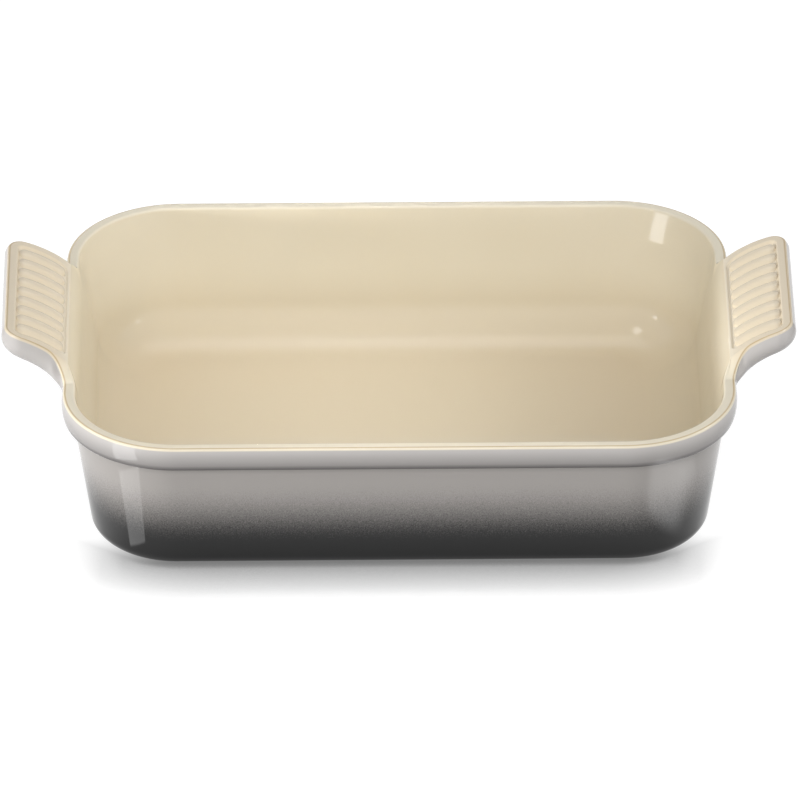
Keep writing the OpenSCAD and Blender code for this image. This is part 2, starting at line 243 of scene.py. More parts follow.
def gridFaces(rows, columns, rowsClosed, columnsClosed):
    faces = []
    for i in range(rows if rowsClosed else rows - 1):
        for j in range(columns if columnsClosed else columns - 1):
            k, m = (i + 1) % rows, (j + 1) % columns
            faces.append((i * columns + j, k * columns + j, k * columns + m, i * columns + m))
    return faces


def endFaces(rows, columns):
    return [list(range(columns)), [(rows - 1) * columns + j for j in range(columns)]]


# Basin: the stoneware walls and floor, glazed grey outside
def makeBasin():
    profile = [(middleP, foot["height"]), (baseArc[0] - wall["flatStep"], foot["height"])]
    profile += arcPoints(baseArc, wall["baseRadius"], -90, -outerTilt, bodySteps["base"])
    profile += [(outerP(z), z) for z in spaced(profile[-1][1], neckArc[1], bodySteps["outside"])[1:-1]]
    profile += arcPoints(neckArc, wall["neckRadius"], 180 - outerTilt, 90, bodySteps["neck"])
    profile += [(mix(neckArc[0], backP(seatZ), 0.5), seatZ), (backP(seatZ), seatZ)]
    backRadius = wall["floorRadius"] + wall["glaze"]
    profile += arcPoints(floorArc, backRadius, -innerTilt, -90, bodySteps["backBend"])
    profile += [(middleP, wall["floorZ"] - wall["glaze"])]
    stations = planStations()
    rows, columns = len(stations), len(profile)
    faces = gridFaces(rows, columns, True, False)
    faces += [[i * columns for i in range(rows)], [i * columns + columns - 1 for i in range(rows)]]
    overEdge = [meshing["farOver"]] * (rows * columns)
    return makeMesh("basinBody", sweptPoints(stations, profile), faces, overEdge)


def makeFootRing():
    r = foot["edgeRadius"]
    profile = [(footP, foot["height"])] + arcPoints((footP - r, r), r, 0, -90, bodySteps["foot"])
    profile += arcPoints((footP - foot["width"] + r, r), r, -90, -180, bodySteps["foot"])
    profile += [(footP - foot["width"], foot["height"])]
    stations = planStations()
    faces = gridFaces(len(stations), len(profile), True, True)
    overEdge = [0] * (len(stations) * len(profile))
    return makeMesh("footRing", sweptPoints(stations, profile), faces, overEdge)


# Cream lining: over the lip, down the inner wall and across the floor, cut away where the handles take over
def makeLining():
    lipTop = rim["top"] - rim["lipRadius"]
    lip = arcPoints((lipEdgeP, lipTop), rim["lipRadius"], rim["faceAngle"], 90, bodySteps["lip"])
    lip += [(mix(lipEdgeP, lipArcP, s), rim["top"]) for s in spaced(0, 1, bodySteps["crest"])[1:-1]]
    lip += arcPoints((lipArcP, lipTop), rim["lipRadius"], 90, 180 - innerTilt, bodySteps["lip"])
    lip += [(innerP(z), z) for z in spaced(lip[-1][1], seatZ, bodySteps["innerTop"])[1:]]
    below = [(innerP(z), z) for z in spaced(seatZ, floorArc[1], bodySteps["inside"])[1:-1]]
    below += arcPoints(floorArc, wall["floorRadius"], -innerTilt, -90, bodySteps["floorBend"])
    below += [(floorArc[0] - wall["flatStep"], wall["floorZ"]), (middleP, wall["floorZ"]),
              (middleP, wall["floorZ"] - wall["glaze"])]
    backRadius = wall["floorRadius"] + wall["glaze"]
    below += arcPoints(floorArc, backRadius, -90, -innerTilt, bodySteps["backBend"])
    below += [(backP(seatZ), seatZ)]
    full = lip + below + [(backP(breakZ), breakZ)]
    # In a handle's zone the lip shrinks onto the seat
    lipSpan = len(lip) - 1
    low = [(mix(backP(seatZ), innerP(seatZ), i / lipSpan), seatZ) for i in range(lipSpan + 1)]
    low += below + [(backP(seatZ), seatZ)]
    lengths = pathLengths(full)

    points, overEdge = [], []
    stations = []
    for station in planStations():
        x, y, dx, dy = station
        onSide = abs(dx) > straight and abs(y) < rootHalf + hair
        atEdge = onSide and abs(abs(y) - rootHalf) < hair
        entering = atEdge and (y > 0) == (dx < 0)
        if atEdge:
            stations += [(station, full), (station, low)] if entering else [(station, low), (station, full)]
        else:
            stations.append((station, low if onSide else full))
    for station, profile in stations:
        points += sweptPoints([station], profile)
        overEdge += [-min(d, meshing["farOver"]) for d in lengths]
    columns = len(full)
    floorTop = full.index((middleP, wall["floorZ"]))
    faces = [f for f in gridFaces(len(stations), columns, True, True)
             if not {f[0] % columns, f[2] % columns} == {floorTop, floorTop + 1}]
    faces += [[i * columns + floorTop for i in range(len(stations))],
              [i * columns + floorTop + 1 for i in range(len(stations))]]
    return makeMesh("creamLining", points, faces, overEdge)


# Rim collar: the swelling band below the lip, in two halves between the handles
def makeRimHalf(name, side):
    angle, edgeRadius = rim["faceAngle"], rim["collarEdgeRadius"]
    profile = arcPoints((-faceRadius, faceZ), faceRadius, angle, -angle, bodySteps["face"])
    profile += arcPoints((collarEdgeP, seatZ + edgeRadius), edgeRadius, -angle, -90, bodySteps["edge"])
    profile += [(backP(seatZ), seatZ), (backP(breakZ), breakZ)]
    stations = [(x, y, dx, dy) for x, y, dx, dy in planStations()
                if y * side > 0 and (abs(dx) < straight or abs(y) > rootHalf - hair)]
    # From end to end of the half, by the corner's centre and the way outwards. At each end the station at the
    # handle's root comes next to the end and not at it, so the band is folded for the 7.5 mm between the two.
    stations.sort(key=lambda s: (-side * s[0], -side * s[2], -s[1] if s[2] > 0 else s[1]))
    rows, columns = len(stations), len(profile)
    faces = gridFaces(rows, columns, False, True) + endFaces(rows, columns)
    overEdge = [min(d, meshing["farOver"]) for d in pathLengths(profile)] * rows
    return makeMesh(name, sweptPoints(stations, profile), faces, overEdge)


# Handle: closed sections across the rim, carried along the outline of its upper edge
def handleOutline():
    # (x, y, way the edge faces in degrees), from the front root to the back one
    rootRadius, tipRadius = handle["rootRadius"], handle["tipRadius"]
    half = []
    for a in spaced(180, 90 + handle["taper"], handleSteps["root"]):
        x = edgeX + rootRadius * (1 + cos(radians(a)))
        half.append((x, -rootHalf + rootRadius * sin(radians(a)), a - 180))
    for t in spaced(0, sideRun, handleSteps["flank"])[1:]:
        half.append((sideX + t * cos(taper), -handle["width"] / 2 + t * sin(taper), handle["taper"] - 90))
    for a in spaced(handle["taper"] - 90, 0, handleSteps["tipCorner"])[1:]:
        x = tipX - tipRadius * (1 - cos(radians(a)))
        half.append((x, -tipHalf + tipRadius * sin(radians(a)), a))
    half += [(tipX, y, 0) for y in spaced(-tipHalf, 0, handleSteps["tip"])[1:-1]]
    return half + [(tipX, 0, 0)] + [(x, -y, -way) for x, y, way in reversed(half)]


def fieldShare(x, y):
    # 1 on the field's floor, 0 on the border round it, with a soft slope just outside the floor
    r = grip["fieldCorner"]
    fromX = abs(x - (fieldX[0] + fieldX[1]) / 2) - (fieldX[1] - fieldX[0]) / 2 + r
    fromY = abs(y) - fieldHalf + r
    outside = hypot(max(fromX, 0), max(fromY, 0)) + min(max(fromX, fromY), 0) - r
    return ease(1 - outside / grip["fieldWall"])


def facePoint(share):
    a = faceTilt * (1 - 2 * share)
    return faceRadius * (cos(a) - 1), faceZ + faceRadius * sin(a)


def handleSection(x, y, way):
    wayX, wayY = cos(radians(way)), sin(radians(way))
    share = swell(y)
    room = min(1, (x - edgeX) / (handle["edgeRadius"] + 2 * handle["underRadius"]))
    out = ease((x - edgeX) / handle["edgeRadius"] / 2)
    lowRadius = handle["edgeRadius"] * max(handle["leastRoom"], room)
    # Inner face, up to the ridge at the handle's inner edge
    cornerP, cornerZ = mix(innerP(rim["top"]), ridgeX - reach, share), mix(rim["top"], ridgeZ, share)
    height = cornerZ - seatZ
    flare = cornerP - innerP(seatZ) - height * innerSlope
    points = [(reach + innerP(seatZ) + height * innerSlope * t + flare * t ** 3, y, mix(seatZ, cornerZ, t))
              for t in spaced(0, 1, handleSteps["inner"])[:-1]]
    wayIn = pi / 2 - atan(innerSlope + 3 * flare / height)
    r = rim["lipRadius"]
    wayOut = atan((topZ(reach + cornerP + r, y) - cornerZ) / r)
    cut = r * tan((wayIn - wayOut) / 2)
    middle = (cornerP - cut * cos(wayIn) + r * sin(wayIn), cornerZ - cut * sin(wayIn) - r * cos(wayIn))
    ridge = arcPoints(middle, r, degrees(wayIn) + 90, degrees(wayOut) + 90, handleSteps["round"])
    points += [(reach + p, y, z) for p, z in ridge]
    # Top, with the field sunk into it
    startX = reach + ridge[-1][0]
    endX, endY = x - r * cos(faceTilt) * wayX, y - r * cos(faceTilt) * wayY
    for t in spaced(0, 1, handleSteps["top"])[1:]:
        px, py = mix(startX, endX, t), mix(y, endY, t)
        points.append((px, py, topZ(px, py) - grip["fieldDepth"] * fieldShare(px, py)))
    for a in spaced(pi / 2, faceTilt, handleSteps["round"])[1:]:
        d = r * (cos(a) - cos(faceTilt))
        px, py = x + d * wayX, y + d * wayY
        points.append((px, py, topZ(px, py) - r * (1 - sin(a))))
    breakAt = len(points) - 1
    # Side, lower edge, underside and the fillet back to the collar, each beside the collar's bare face
    tilt = radians(handle["faceAngle"])
    high = topZ(x, y) - r * (1 - sin(faceTilt))
    low = underZ(x) + lowRadius * (1 - sin(tilt))
    sideRadius = (high - low) / 2 / sin(tilt)
    outer = []
    for t in spaced(0, 1, handleSteps["side"])[1:]:
        a = tilt * (1 - 2 * t)
        d = sideRadius * (cos(a) - cos(tilt))
        outer.append(((x + d * wayX, y + d * wayY, (high + low) / 2 + sideRadius * sin(a)),
                      facePoint(handle["sideEnd"] * t)))
    for t in spaced(0, 1, handleSteps["round"])[1:]:
        a = mix(-tilt, -pi / 2, t)
        d = lowRadius * (cos(a) - cos(tilt))
        px, py = x + d * wayX, y + d * wayY
        outer.append(((px, py, underZ(px) + lowRadius * (1 + sin(a))),
                      facePoint(mix(handle["sideEnd"], handle["edgeEnd"], t))))
    lastX, lastY = px, py
    filletX = mix(edgeX, reach, room) + handle["underRadius"] * room
    for t in spaced(0, 1, handleSteps["under"])[1:]:
        px = mix(lastX, filletX, t)
        outer.append(((px, lastY, underZ(px)), facePoint(mix(handle["edgeEnd"], handle["filletStart"], t))))
    endP, endZ = facePoint(handle["filletEnd"])
    for t in spaced(0, 1, handleSteps["round"])[1:]:
        a = Vector((filletX, underZ(filletX))).lerp(Vector((reach, underZ(reach))), t)
        b = Vector((reach, underZ(reach))).lerp(Vector((reach + endP, endZ)), t)
        q = a.lerp(b, t)
        outer.append(((q.x, mix(lastY, y, t), q.y),
                      facePoint(mix(handle["filletStart"], handle["filletEnd"], t))))
    points += [tuple(Vector((reach + bare[0], y, bare[1])).lerp(Vector(full), out)) for full, bare in outer]
    # Collar's face and lower edge, down to the seat
    for t in spaced(handle["filletEnd"], 1, handleSteps["lower"])[1:]:
        p, z = facePoint(t)
        points.append((reach + p, y, z))
    r = rim["collarEdgeRadius"]
    for a in spaced(-faceTilt, -pi / 2, handleSteps["round"])[1:]:
        points.append((reach + collarEdgeP + r * cos(a), y, seatZ + r * (1 + sin(a))))
    return points, breakAt


def makeHandle(name, side):
    points, overEdge = [], []
    outline = handleOutline()
    farOver = meshing["farOver"]
    for x, y, way in outline:
        section, breakAt = handleSection(x, y, way)
        lengths = [0]
        for a, b in zip(section, section[1:]):
            lengths.append(lengths[-1] + (Vector(a) - Vector(b)).length)
        points += [(side * px, side * py, pz) for px, py, pz in section]
        overEdge += [max(-farOver, min(farOver, d - lengths[breakAt])) for d in lengths]
    rows, columns = len(outline), len(section)
    faces = gridFaces(rows, columns, False, True) + endFaces(rows, columns)
    return makeMesh(name, points, faces, overEdge)


print("shapes ready")


# Materials
def linear(hexColour):
    channels = [int(hexColour[i:i + 2], 16) / 255 for i in (1, 3, 5)]
    return tuple(c / 12.92 if c <= 0.04045 else ((c + 0.055) / 1.055) ** 2.4 for c in channels) + (1,)


def addNode(tree, kind, settings=None, inputs=None):
    # inputs maps a socket, by name or number, to a value or to the output that feeds it
    node = tree.nodes.new(kind)
    for key, value in (settings or {}).items():
        setattr(node, key, value)
    for key, value in (inputs or {}).items():
        if isinstance(value, bpy.types.NodeSocket):
            tree.links.new(value, node.inputs[key])
        else:
            node.inputs[key].default_value = value
    return node


def newMaterial(name):
    material = bpy.data.materials.new(name)
    material.use_nodes = True
    tree = material.node_tree
    tree.nodes.clear()
    return material, tree


def maths(tree, operation, a, b=0.0, c=0.0, clamp=False):
    settings = {"operation": operation, "use_clamp": clamp}
    return addNode(tree, "ShaderNodeMath", settings, {0: a, 1: b, 2: c}).outputs[0]


def blendColour(tree, share, a, b):
    return addNode(tree, "ShaderNodeMix", {"data_type": "RGBA"}, {0: share, 6: a, 7: b}).outputs[2]


def objectPlace(tree):
    return addNode(tree, "ShaderNodeTexCoord").outputs["Object"]


def split(tree, vector):
    return addNode(tree, "ShaderNodeSeparateXYZ", {}, {0: vector}).outputs


def join(tree, values):
    return addNode(tree, "ShaderNodeCombineXYZ", {}, values).outputs[0]


def noise(tree, width, detail):
    # Noise through the piece, with features about width millimetres across
    inputs = {"Vector": objectPlace(tree), "Scale": 1 / (width * mm), "Detail": detail}
    return addNode(tree, "ShaderNodeTexNoise", {}, inputs).outputs["Fac"]


def ramp(tree, value, start, end, smooth=True, rising=True):
    # 0 before start and 1 past end, both in millimetres, or the other way round if it isn't rising
    settings = {"interpolation_type": "SMOOTHSTEP" if smooth else "LINEAR"}
    inputs = {"Value": value, "From Min": start * mm, "From Max": end * mm,
              "To Min": 0.0 if rising else 1.0, "To Max": 1.0 if rising else 0.0}
    return addNode(tree, "ShaderNodeMapRange", settings, inputs).outputs[0]


def fading(tree, distance, run):
    # 1 where the distance is nothing, 0 from run on
    return maths(tree, "MULTIPLY_ADD", distance, -1 / run, 1.0, True)


def pastBreak(tree):
    return addNode(tree, "ShaderNodeAttribute", {"attribute_name": "overEdge"}).outputs["Fac"]


def emission(tree, strength):
    return addNode(tree, "ShaderNodeEmission", {}, {"Strength": strength}).outputs[0]


def diffuse(tree, hexColour):
    return addNode(tree, "ShaderNodeBsdfDiffuse", {}, {"Color": linear(hexColour)}).outputs[0]


def mixShader(tree, share, a, b):
    return addNode(tree, "ShaderNodeMixShader", {}, {0: share, 1: a, 2: b}).outputs[0]


def addOutput(tree, surface, kind="ShaderNodeOutputMaterial"):
    addNode(tree, kind, {}, {0: surface})


def finishSurface(tree, colour, height, depth, shine):
    # shine holds the roughness, and for a glaze its index of refraction
    bump = addNode(tree, "ShaderNodeBump", {}, {"Strength": 1.0, "Distance": depth * mm, "Height": height})
    surface = addNode(tree, "ShaderNodeBsdfPrincipled", {}, {
        "Base Color": colour, "Normal": bump.outputs[0], **shine})
    addOutput(tree, surface.outputs[0])


# Cream glaze: a thick glossy glaze, poured and fired. It pools pale and even on broad faces and breaks
# to a thin brown line along the crest of the lip's outer edge.
# Its floor colour is painted shade, darker deep in the dish where less light falls.
creamGlaze = {
    "colour": "#eee5d0", "pooled": "#e8dec6", "floor": "#d7c9ae", "thin": "#bfa67c",
    "poolWidth": 70, "poolDetail": 2, "floorRise": 46, "grip": "#e1d3ba", "gripFrom": 77, "gripTo": 86,
    "thinAt": 1.4, "thinRun": 0.65, "rippleWidth": 22, "rippleDetail": 1, "rippleDepth": 0.05,
    "shine": {"Roughness": 0.07, "IOR": 1.5},
}
# Grey glaze: sprayed in two coats, light warm grey above and charcoal below, so the change between them
# is a mist of fine dark specks. Glossy, with the specks about half a millimetre across.
# The collar colours and the pool colour are painted light and shade: the collar lit from above, the step
# below it in shade.
greyGlaze = {
    "collarLitTop": "#c2bebb", "collarShadedLow": "#868280", "collarFade": 2, "upper": "#a7a29e", "lower": "#1c1c1c",
    "pool": "#585453", "stepShadeRise": 0.8, "stepShadeReach": 2.6, "thin": "#ded5c4", "thinRun": 0.4,
    "mistTop": 51, "mistBottom": 18, "speckWidth": 0.5, "speckDetail": 3, "speckSpread": 11,
    "rippleWidth": 20, "rippleDetail": 1, "rippleDepth": 0.04, "shine": {"Roughness": 0.06, "IOR": 1.45},
}
# Bare clay: fired stoneware, matt and pale buff, with a fine sandy grain
bareClay = {
    "colour": "#b9a78e", "grain": "#9c8a71", "grainWidth": 0.8, "grainDetail": 4, "grainDepth": 0.06,
    "shine": {"Roughness": 0.85},
}


def finishGlaze(tree, colour, glaze):
    ripple = noise(tree, glaze["rippleWidth"], glaze["rippleDetail"])
    finishSurface(tree, colour, ripple, glaze["rippleDepth"], glaze["shine"])


def makeCreamGlaze():
    material, tree = newMaterial("creamGlaze")
    pool = noise(tree, creamGlaze["poolWidth"], creamGlaze["poolDetail"])
    colour = blendColour(tree, pool, linear(creamGlaze["colour"]), linear(creamGlaze["pooled"]))
    height = split(tree, objectPlace(tree))["Z"]
    # Painted shade: darker and browner towards the floor, standing in for the lower light deep in the dish
    low = ramp(tree, height, wall["floorZ"], creamGlaze["floorRise"], rising=False)
    colour = blendColour(tree, low, colour, linear(creamGlaze["floor"]))
    # A shade darker and yellower up on the handles
    high = ramp(tree, height, creamGlaze["gripFrom"], creamGlaze["gripTo"])
    colour = blendColour(tree, high, colour, linear(creamGlaze["grip"]))
    fromCrest = maths(tree, "ABSOLUTE", maths(tree, "ADD", pastBreak(tree), creamGlaze["thinAt"]))
    colour = blendColour(tree, fading(tree, fromCrest, creamGlaze["thinRun"]), colour,
                         linear(creamGlaze["thin"]))
    finishGlaze(tree, colour, creamGlaze)
    return material


def makeGreyGlaze():
    material, tree = newMaterial("greyGlaze")
    height = split(tree, objectPlace(tree))["Z"]
    speck = noise(tree, greyGlaze["speckWidth"], greyGlaze["speckDetail"])
    spread = 2 * greyGlaze["speckSpread"] * mm
    level = maths(tree, "ADD", height, maths(tree, "MULTIPLY_ADD", speck, spread, -spread / 2))
    clear = ramp(tree, level, greyGlaze["mistBottom"], greyGlaze["mistTop"])
    colour = blendColour(tree, clear, linear(greyGlaze["lower"]), linear(greyGlaze["upper"]))
    # Painted light and shade: the collar band is lighter towards the lip and darker at its foot, as if lit
    # from above
    onCollar = ramp(tree, height, seatZ - greyGlaze["collarFade"], seatZ, smooth=False)
    towardsLipLit = ramp(tree, height, seatZ, breakZ, smooth=False)
    paintedCollarLight = blendColour(tree, towardsLipLit, linear(greyGlaze["collarShadedLow"]), linear(greyGlaze["collarLitTop"]))
    colour = blendColour(tree, onCollar, colour, paintedCollarLight)
    # Painted shade: darker in the step below the collar, where shade falls
    stepShadeHeight = (seatZ + greyGlaze["stepShadeRise"]) * mm
    fromStep = maths(tree, "ABSOLUTE", maths(tree, "SUBTRACT", height, stepShadeHeight))
    pooled = fading(tree, fromStep, greyGlaze["stepShadeReach"] * mm)
    colour = blendColour(tree, pooled, colour, linear(greyGlaze["pool"]))
    thin = fading(tree, pastBreak(tree), greyGlaze["thinRun"])
    colour = blendColour(tree, thin, colour, linear(greyGlaze["thin"]))
    finishGlaze(tree, colour, greyGlaze)
    return material


def makeBareClay():
    material, tree = newMaterial("bareClay")
    grain = noise(tree, bareClay["grainWidth"], bareClay["grainDetail"])
    colour = blendColour(tree, grain, linear(bareClay["colour"]), linear(bareClay["grain"]))
    finishSurface(tree, colour, grain, bareClay["grainDepth"], bareClay["shine"])
    return material


cream, grey, clay = makeCreamGlaze(), makeGreyGlaze(), makeBareClay()
print("materials ready")


# Ribs: Geometry Nodes carries a rounded bar along the field's arch, and repeats it across the handle
ribShape = {
    "Ribs": 9, "Pitch": 9.0, "Half Width": 4.45, "Height": 1.9, "Flatness": 3.2, "Softness": 1.4,
    "Sunk": 0.5, "End Run": 3.4,
}
# wholeEnd is just over 1, so that a bar's very end keeps a small size
ribMesh = {"along": 110, "around": 56, "wholeEnd": 1.0003}


def makeRibTree():
    tree = bpy.data.node_groups.new("gripRibs", "GeometryNodeTree")
    tree.interface.new_socket("Geometry", in_out="OUTPUT", socket_type="NodeSocketGeometry")
    tree.interface.new_socket("Ribs", in_out="INPUT", socket_type="NodeSocketInt")
    for name in ("Pitch", "Half Width", "Height", "Flatness", "Softness", "Sunk", "End Run",
                 "Arch Radius", "From Angle", "Sweep Angle"):
        tree.interface.new_socket(name, in_out="INPUT", socket_type="NodeSocketFloat")
    tree.interface.new_socket("Glaze", in_out="INPUT", socket_type="NodeSocketMaterial")
    sizes = addNode(tree, "NodeGroupInput").outputs
    arch = addNode(tree, "GeometryNodeCurveArc", {"mode": "RADIUS"}, {
        "Resolution": ribMesh["along"], "Radius": sizes["Arch Radius"], "Start Angle": sizes["From Angle"],
        "Sweep Angle": sizes["Sweep Angle"]}).outputs["Curve"]
    arch = addNode(tree, "GeometryNodeSetCurveNormal", {"mode": "Z_UP"}, {"Curve": arch}).outputs[0]
    # The bar narrows to a round end: its scale follows an ellipse over the end run
    along = addNode(tree, "GeometryNodeSplineParameter").outputs["Length"]
    whole = maths(tree, "MULTIPLY", sizes["Arch Radius"], sizes["Sweep Angle"])
    fromEnd = maths(tree, "MINIMUM", along, maths(tree, "SUBTRACT", whole, along))
    passed = maths(tree, "DIVIDE", fromEnd, sizes["End Run"], clamp=True)
    left = maths(tree, "SUBTRACT", 1.0, passed)
    leftSquared = maths(tree, "MULTIPLY", left, left)
    scale = maths(tree, "SQRT", maths(tree, "SUBTRACT", ribMesh["wholeEnd"], leftSquared))
    # Section of the bar: a broad crown with soft feet that run out into the field, over a keel sunk in it
    circle = addNode(tree, "GeometryNodeCurvePrimitiveCircle", {}, {
        "Resolution": ribMesh["around"], "Radius": 1.0}).outputs[0]
    spot = split(tree, addNode(tree, "GeometryNodeInputPosition").outputs[0])
    across = maths(tree, "POWER", maths(tree, "ABSOLUTE", spot[0]), sizes["Flatness"])
    rise = maths(tree, "POWER", maths(tree, "SUBTRACT", 1.0, across, clamp=True), sizes["Softness"])
    crown = maths(tree, "MULTIPLY", maths(tree, "MULTIPLY", rise, sizes["Height"]),
                  maths(tree, "GREATER_THAN", spot[1], 0.0))
    keel = maths(tree, "MULTIPLY", maths(tree, "MINIMUM", spot[1], 0.0), sizes["Sunk"])
    section = join(tree, {0: maths(tree, "ADD", crown, keel),
                          1: maths(tree, "MULTIPLY", spot[0], sizes["Half Width"])})
    circle = addNode(tree, "GeometryNodeSetPosition", {}, {
        "Geometry": circle, "Position": section}).outputs[0]
    bar = addNode(tree, "GeometryNodeCurveToMesh", {}, {
        "Curve": arch, "Profile Curve": circle, "Scale": scale, "Fill Caps": True}).outputs[0]
    upright = addNode(tree, "GeometryNodeTransform", {}, {
        "Geometry": bar, "Rotation": (pi / 2, 0, 0)}).outputs[0]
    first = maths(tree, "MULTIPLY", maths(tree, "SUBTRACT", sizes["Ribs"], 1.0),
                  maths(tree, "MULTIPLY", sizes["Pitch"], -0.5))
    places = addNode(tree, "GeometryNodeMeshLine", {}, {
        "Count": sizes["Ribs"], "Start Location": join(tree, {1: first}),
        "Offset": join(tree, {1: sizes["Pitch"]})}).outputs[0]
    ribs = addNode(tree, "GeometryNodeInstanceOnPoints", {}, {
        "Points": places, "Instance": upright}).outputs[0]
    ribs = addNode(tree, "GeometryNodeRealizeInstances", {}, {0: ribs}).outputs[0]
    ribs = addNode(tree, "GeometryNodeSetMaterial", {}, {
        "Geometry": ribs, "Material": sizes["Glaze"]}).outputs[0]
    addNode(tree, "NodeGroupOutput", {}, {0: ribs})
    return tree


def makeRibs(name, side, tree):
    carrier = addObject(name + "Carrier", bpy.data.meshes.new(name + "Carrier"))
    modifier = carrier.modifiers.new("ribs", "NODES")
    modifier.node_group = tree
    radius = handle["archRadius"] - grip["fieldDepth"]
    startAngle = acos((fieldX[1] - grip["tipGap"] - archCentre.x) / radius)
    endAngle = acos((fieldX[0] + grip["basinGap"] - archCentre.x) / radius)
    notLengths = ("Ribs", "Flatness", "Softness")
    values = {key: value * (1 if key in notLengths else mm) for key, value in ribShape.items()}
    values.update({"Arch Radius": radius * mm, "From Angle": startAngle,
                   "Sweep Angle": endAngle - startAngle, "Glaze": cream})
    for item in tree.interface.items_tree:
        if item.item_type == "SOCKET" and item.in_out == "INPUT":
            modifier[item.identifier] = values[item.name]
    carrier.update_tag()
    evaluated = carrier.evaluated_get(bpy.context.evaluated_depsgraph_get())
    mesh = bpy.data.meshes.new_from_object(evaluated)
    bpy.data.objects.remove(carrier)
    mesh.transform(Matrix.Translation((archCentre.x * mm, 0, archCentre.y * mm)))
    if side < 0:
        mesh.transform(Matrix.Rotation(pi, 4, "Z"))
    cleanMesh(mesh, meshing["ribSharpAngle"], 0)
    addOverEdge(mesh, [-meshing["farOver"]] * len(mesh.vertices))
    mesh.name = name
    return addObject(name, mesh)


def dress(piece, node, slot, *materials):
    piece.data.materials.clear()
    for material in materials:
        piece.data.materials.append(material)
    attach(piece, "root")
    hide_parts(node)


def splitGlaze(piece):
    # Cream on the faces before the break, grey on those past it
    edge = piece.data.attributes["overEdge"].data
    for face in piece.data.polygons:
        middle = sum(edge[v].value for v in face.vertices) / len(face.vertices)
        face.material_index = 1 if middle > 0 else 0


dress(makeBasin(), "basin", "grey_ombre_glaze", grey)
dress(makeFootRing(), "foot_ring", "bare_clay", clay)
dress(makeLining(), "cream_lining", "cream_glaze", cream)
dress(makeRimHalf("frontRim", -1), "front_rim", "grey_rim_glaze", grey)
dress(makeRimHalf("backRim", 1), "back_rim", "grey_rim_glaze", grey)
print("basin, lining and rim made")
ribTree = makeRibTree()
for word, side in (("left", -1), ("right", 1)):
    handlePiece = makeHandle(word + "Handle", side)
    dress(handlePiece, word + "_handle", "handle_glaze", cream, grey)
    splitGlaze(handlePiece)
    dress(makeRibs(word + "GripRibs", side, ribTree), word + "_grip_ribs", "cream_rib_glaze", cream)
print("handles and ribs made")

# Camera: a long lens, as far off as the photograph's flat perspective asks
view = {
    "pitch": 30.89, "yaw": 0.5, "roll": -0.145, "distance": 5266, "lens": 484.2,
    "aimUp": 0.2917, "aimRight": 0.0106, "clipEnd": 100000,
}


def viewAxes(pitch, yaw):
    roll = radians(view["roll"])
    forward = Vector((sin(yaw) * cos(pitch), cos(yaw) * cos(pitch), -sin(pitch)))
    right = forward.cross(Vector((0, 0, 1))).normalized()
    up = right.cross(forward)
    return forward, cos(roll) * right + sin(roll) * up, cos(roll) * up - sin(roll) * right


viewForward = viewAxes(radians(view["pitch"]), radians(view["yaw"]))[0]
camera = addObject("camera", bpy.data.cameras.new("camera"))
aim, right, up = viewAxes(radians(view["pitch"] - view["aimUp"]), radians(view["yaw"] + view["aimRight"]))
turn = Matrix((right, up, -aim)).transposed().to_4x4()
camera.matrix_world = Matrix.Translation(-viewForward * view["distance"] * mm) @ turn
camera.data.lens = view["lens"]
camera.data.clip_end = view["clipEnd"] * mm
bpy.context.scene.camera = camera

# Studio: a white floor and white surroundings, lit by soft boxes
studio = {
    "floorSize": 12000, "floorDrop": 0.1, "floor": "#8f8f8f", "bounce": "#8c8c8c", "floorGlow": 0.9,
    "contactReach": 35, "contactDepth": 1.5, "contactSamples": 4, "shadowFront": -108, "shadowBack": -72,
    "shadowSide": 112, "shadowGone": 165, "ambient": 0.41,
}
# Black flags at the two sides, off camera: they darken what the ends of the dish mirror
flag = {"away": 330, "low": 45, "high": 150, "front": -110, "back": 500, "colour": "#1a1a1a"}
# Cards that only show as reflections in the glaze, each turned towards its target. The edges are the widths
# over which a card fades, at its sides and at its ends.
cards = {
    "frontLeftCard": {"place": (-134.7, -109.4, 27), "target": (-125.7, -105.1, 27), "size": (13, 54),
                      "brightness": 2.7, "edges": (0.8, 3), "lean": -3.3},
    "collarCard": {"place": (-142.1, -122.3, 65), "target": (-132.1, -115.9, 68), "size": (18, 22),
                   "brightness": 4.5, "edges": (1, 3), "lean": 0},
    "frontRightCard": {"place": (135.9, -114.3, 33), "target": (126.5, -111, 33), "size": (42, 62),
                       "brightness": 2.8, "edges": (13, 16), "lean": 0},
    "insideCard": {"place": (96.5, 80.3, 59.7), "target": (106.5, 79.8, 60.7), "size": (8.4, 18),
                   "brightness": 5, "edges": (0.8, 0.8), "lean": 8},
    "leftHandleCard": {"place": (-215, -75, 150), "target": (-178, -10, 92), "size": (60, 60),
                       "brightness": 6, "edges": (15, 15), "lean": 0},
    "rightHandleCard": {"place": (215, -75, 150), "target": (178, -10, 92), "size": (60, 60),
                        "brightness": 6, "edges": (15, 15), "lean": 0},
}
# Soft boxes, in metres and watts. Only mirrorBox shows in the glaze, overhead and a little behind, and it
# lights nothing else. Pi times its area in watts makes it white.
softBoxes = {
    "frontBox": {"place": (-0.2, -1.9, 1.3), "target": (0, 0, 0.04), "size": (1.3, 1), "watts": 23.5},
    "leftBox": {"place": (-1.62, -0.42, 0.12), "target": (0, 0, 0.04), "size": (0.5, 0.15), "watts": 21},
    "rightFrontBox": {"place": (1.55, -0.65, 0.12), "target": (0, 0, 0.04), "size": (0.5, 0.15), "watts": 5},
    "rightBox": {"place": (1.5, 0.3, 0.75), "target": (0, 0, 0.04), "size": (0.9, 0.6), "watts": 6.5},
    "poolBox": {"place": (-0.02, 0.05, 1), "target": (-0.02, 0, 0), "size": (0.12, 0.3), "watts": 0.07,
                "spread": 20},
    "mirrorBox": {"place": (0, 0.6, 1.36), "target": (0, 0, 0.04), "size": (1.2, 1.6),
                  "watts": pi * 1.2 * 1.6, "mirrored": True},
}


